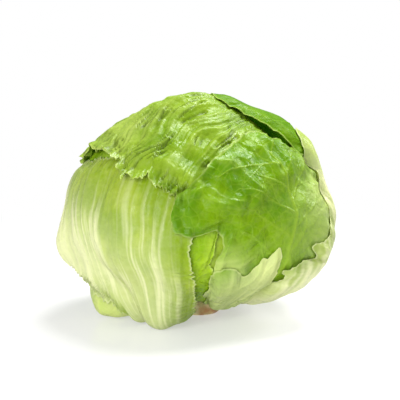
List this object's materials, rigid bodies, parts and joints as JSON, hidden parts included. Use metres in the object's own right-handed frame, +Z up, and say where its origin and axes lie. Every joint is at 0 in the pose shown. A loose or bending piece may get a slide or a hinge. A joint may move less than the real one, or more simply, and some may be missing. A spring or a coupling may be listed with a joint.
{
  "type": "head of iceberg lettuce",
  "caption": "Round head of iceberg lettuce standing on its cut stem, with loose, partly torn outer leaves wrapped over a tight heart.",
  "frame": {"origin": "middle of the bounding box's bottom face, on the surface that the head stands on", "axes": "+Z up, the front of the head towards -Y, and +X to the right of a viewer in front of it"},
  "size_m": [0.1676, 0.1514, 0.1363],
  "materials": {
    "stem": "moist cut flesh with a browned rim",
    "heart": "smooth, waxy pale yellow-green leaf",
    "inner_leaf": "smooth, waxy light green leaf",
    "pale_leaf": "waxy, nearly white leaf with parallel ribs",
    "light_leaf": "waxy, wrinkled light green leaf",
    "green_leaf": "waxy mid green leaf with pale branching veins",
    "dark_leaf": "waxy deep green leaf"
  },
  "bodies": {
    "root": {"stem": "stem", "heart": "heart", "inner_leaf_front": "inner_leaf", "inner_leaf_back": "inner_leaf", "inner_leaf_right": "inner_leaf", "inner_leaf_left": "inner_leaf", "back_left_leaf": "light_leaf", "front_left_leaf": "pale_leaf", "strip_leaf": "light_leaf", "crown_leaf": "light_leaf", "front_leaf": "green_leaf", "right_leaf": "pale_leaf", "torn_leaf": "pale_leaf", "back_leaf": "dark_leaf"}
  },
  "joints": []
}
